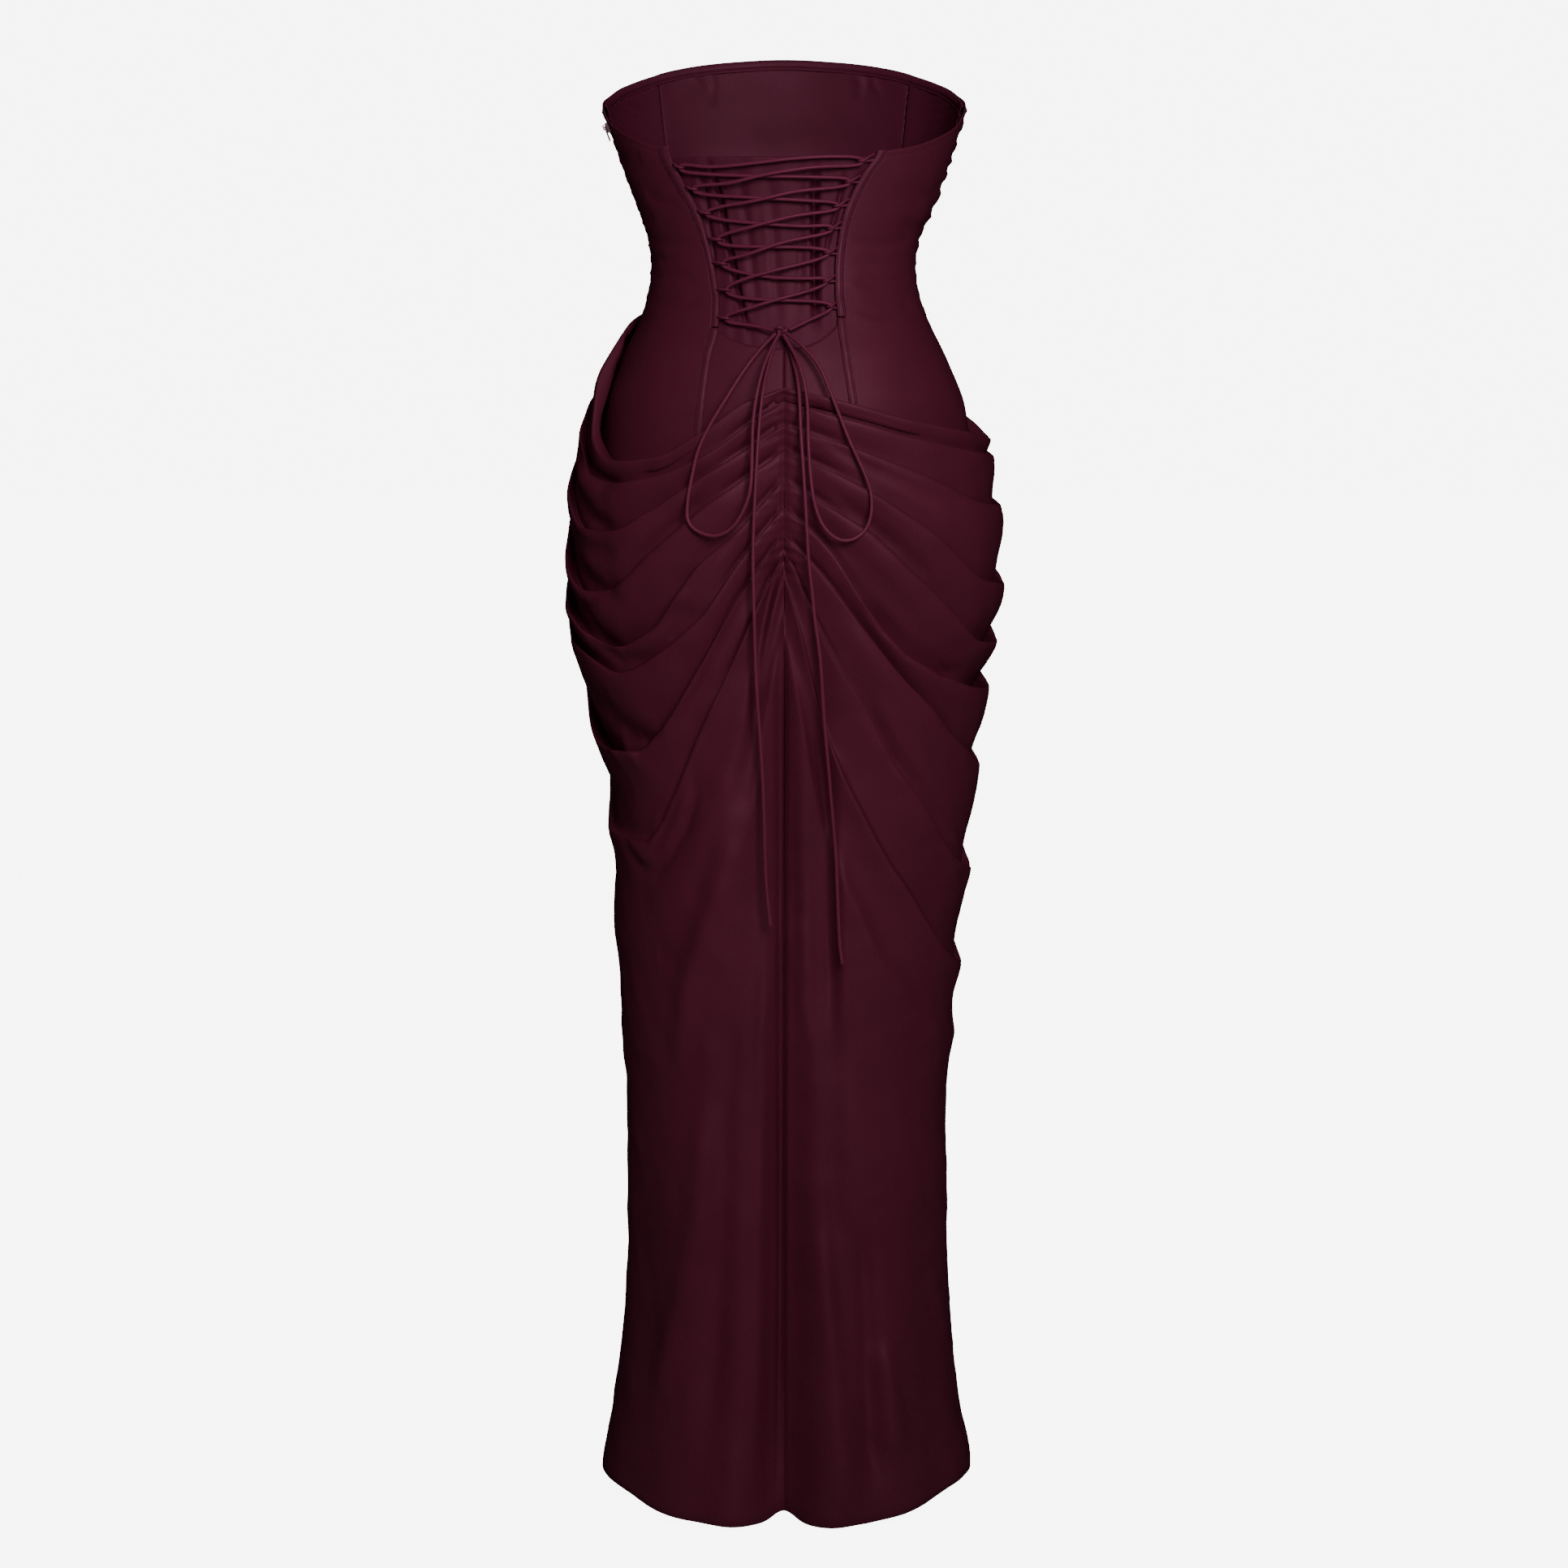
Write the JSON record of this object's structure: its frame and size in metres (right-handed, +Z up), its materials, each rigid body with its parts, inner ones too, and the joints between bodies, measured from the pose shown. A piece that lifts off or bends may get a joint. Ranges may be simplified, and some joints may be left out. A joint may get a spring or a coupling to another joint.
{
  "type": "ruched maxi dress",
  "caption": "Strapless maxi dress filled out as worn, with a laced back over a modesty panel and an overskirt ruched on the centre-back seam and draped to the left waist.",
  "frame": {"origin": "middle of the hollow at the waist, where the wearer holds the dress", "axes": "+Z up, +Y towards the laced back, +X towards the wearer's left side, where the zip is"},
  "size_m": [0.3975, 0.2745, 1.31],
  "materials": {
    "satin_crepe": "soft satin",
    "satin_crepe_inside": "soft satin",
    "lace_satin": "satin",
    "dark_metal": "lacquered"
  },
  "bodies": {
    "dress": {"front_bodice": "satin_crepe", "back_side_left": "satin_crepe", "back_side_right": "satin_crepe", "back_centre_left": "satin_crepe", "back_centre_right": "satin_crepe", "casing_left": "satin_crepe", "casing_right": "satin_crepe", "channel_lower_left": "satin_crepe", "channel_lower_right": "satin_crepe", "skirt_back_left": "satin_crepe", "skirt_back_right": "satin_crepe", "skirt_front": "satin_crepe", "front_lining_centre": "satin_crepe_inside", "front_lining_left": "satin_crepe_inside", "front_lining_right": "satin_crepe_inside", "neckline_band_front": "satin_crepe_inside", "modesty_panel": "satin_crepe_inside", "loop_left_1": "lace_satin", "loop_left_2": "lace_satin", "loop_left_3": "lace_satin", "loop_left_4": "lace_satin", "loop_left_5": "lace_satin", "loop_left_6": "lace_satin", "loop_left_7": "lace_satin", "loop_right_1": "lace_satin", "loop_right_2": "lace_satin", "loop_right_3": "lace_satin", "loop_right_4": "lace_satin", "loop_right_5": "lace_satin", "loop_right_6": "lace_satin", "loop_right_7": "lace_satin", "lace": "lace_satin", "bow_loop_left": "lace_satin", "bow_loop_right": "lace_satin", "tail_left": "lace_satin", "tail_right": "lace_satin", "lace_knot": "lace_satin", "zip_slider": "dark_metal"},
    "zip_tab": {"zip_pull": "dark_metal"}
  },
  "joints": [
    {"name": "zip_tab_swing", "type": "hinge", "parent": "dress", "child": "zip_tab", "pos_m": [0.15997, 0.01172, 0.12118], "axis": [0.153, -0.9882, 0], "range_deg": [0, 110]}
  ]
}
